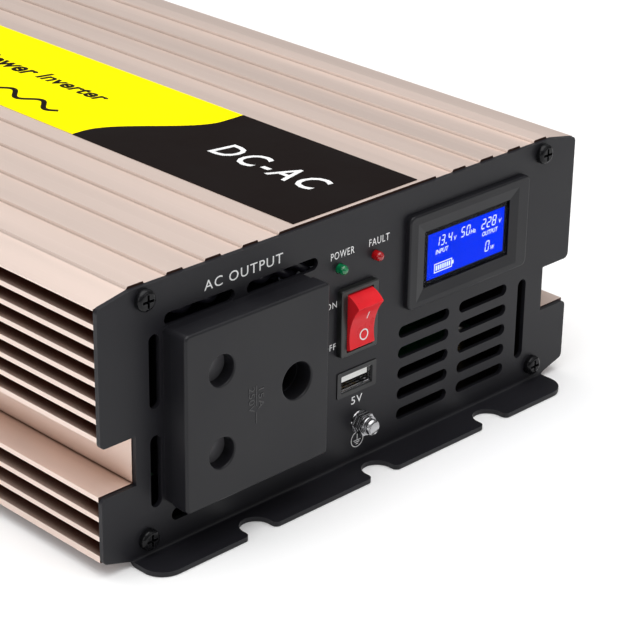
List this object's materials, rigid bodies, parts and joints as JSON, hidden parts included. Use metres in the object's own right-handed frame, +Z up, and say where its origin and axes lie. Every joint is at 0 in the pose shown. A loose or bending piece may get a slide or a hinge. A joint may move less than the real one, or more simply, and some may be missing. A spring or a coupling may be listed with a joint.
{
  "type": "power inverter",
  "caption": "Flat finned aluminium power inverter with a round-pin mains socket, rocker switch, display and USB port at one end, and fans and screw terminals at the other.",
  "frame": {"origin": "centre of the underside of the outer box, in the plane of the two foot flanges' undersides", "axes": "+X to the right seen from the socket end, +Y from the socket end to the battery end, +Z up"},
  "size_m": [0.1948, 0.3616, 0.0845],
  "materials": {
    "case_metal": "fine-grained champagne anodised",
    "panel_paint": "charcoal powder coat",
    "black_screw": "black oxide, satin",
    "label_film": "printed polyester film",
    "socket_plastic": "moulded, slight sheen",
    "shutter_plastic": "moulded",
    "contact_brass": "drawn",
    "switch_plastic": "moulded, semi-gloss",
    "rocker_plastic": "moulded, semi-gloss",
    "tinned_metal": "tin plated",
    "port_plastic": "moulded",
    "nickel": "bright nickel plate",
    "white_plastic": "moulded",
    "circuit_board": "green solder mask",
    "lamp_green": "tinted clear epoxy",
    "lamp_red": "tinted clear epoxy",
    "display_plastic": "moulded, slight sheen",
    "window_clear": "polished",
    "display_blue": "backlit",
    "fan_plastic": "moulded",
    "guard_wire": "bright plated",
    "red_plastic": "moulded",
    "black_plastic": "moulded",
    "ferrite": "ground",
    "winding_tape": "polyester tape over copper",
    "copper_winding": "enamelled copper",
    "can_sleeve": "shrunk sleeve",
    "chip_plastic": "moulded epoxy",
    "spring_bar": "rolled",
    "fuse_plastic": "tinted clear",
    "wire_jacket": "vinyl",
    "panel_wire_jacket": "vinyl",
    "brass_pillar": "turned"
  },
  "bodies": {
    "case": {"upper_housing": "case_metal", "lower_housing": "case_metal", "front_panel": "panel_paint", "rear_panel": "panel_paint", "front_panel_screws": "black_screw", "rear_panel_screws": "black_screw", "side_screws": "black_screw", "deck_label": "label_film", "socket_base": "socket_plastic", "socket_face": "socket_plastic", "socket_line_contact": "contact_brass", "socket_neutral_contact": "contact_brass", "socket_earth_contact": "contact_brass", "switch_frame": "switch_plastic", "switch_terminals": "tinned_metal", "usb_frame": "port_plastic", "usb_shell": "nickel", "usb_tongue": "white_plastic", "usb_contacts": "contact_brass", "usb_board": "circuit_board", "power_lamp": "lamp_green", "fault_lamp": "lamp_red", "lamp_board": "circuit_board", "display_bezel": "display_plastic", "display_window": "window_clear", "display_module": "display_blue", "display_board": "circuit_board", "ground_stud": "nickel", "ground_nut": "nickel", "ground_washers": "nickel", "fan_frame_left": "fan_plastic", "fan_frame_right": "fan_plastic", "fan_guard_left": "guard_wire", "fan_guard_right": "guard_wire", "fan_screws": "black_screw", "terminal_insulator_positive": "red_plastic", "terminal_insulator_negative": "black_plastic", "terminal_stud_positive": "nickel", "terminal_stud_negative": "nickel", "main_board": "circuit_board", "board_standoffs": "brass_pillar", "board_screws": "tinned_metal", "transformer_cores": "ferrite", "transformer_windings": "winding_tape", "bus_capacitors": "can_sleeve", "input_capacitors": "can_sleeve", "power_transistors": "chip_plastic", "transistor_clamps": "spring_bar", "output_inductor": "copper_winding", "input_fuses": "fuse_plastic", "control_board": "circuit_board", "control_chips": "chip_plastic", "ac_wires": "wire_jacket", "lamp_wires": "panel_wire_jacket"},
    "rocker": {"switch_rocker": "rocker_plastic"},
    "shutter": {"socket_shutter": "shutter_plastic"},
    "rotor_left": {"fan_rotor_left": "fan_plastic"},
    "rotor_right": {"fan_rotor_right": "fan_plastic"},
    "cap_positive": {"terminal_cap_positive": "red_plastic"},
    "cap_negative": {"terminal_cap_negative": "black_plastic"}
  },
  "joints": [
    {"name": "switch_rocker_tilt", "type": "hinge", "parent": "case", "child": "rocker", "pos_m": [-0.0005, -0.16855, 0.0494], "axis": [-1, 0, 0], "range_deg": [0, 26]},
    {"name": "socket_shutter_slide", "type": "slide", "parent": "case", "child": "shutter", "axis": [1, 0, 0], "range_m": [0, 0.0108], "stiffness_N_per_m": 30, "springref_m": -0.003},
    {"name": "fan_spin_left", "type": "hinge", "parent": "case", "child": "rotor_left", "pos_m": [-0.049, 0.13835, 0.0426], "axis": [0, 1, 0], "continuous": true},
    {"name": "fan_spin_right", "type": "hinge", "parent": "case", "child": "rotor_right", "pos_m": [0.049, 0.13835, 0.0426], "axis": [0, 1, 0], "continuous": true},
    {"name": "terminal_cap_turn_positive", "type": "hinge", "parent": "case", "child": "cap_positive", "pos_m": [0, 0.17185, 0.058], "axis": [0, 1, 0], "continuous": true},
    {"name": "terminal_cap_turn_negative", "type": "hinge", "parent": "case", "child": "cap_negative", "pos_m": [0, 0.17185, 0.026], "axis": [0, 1, 0], "continuous": true}
  ]
}
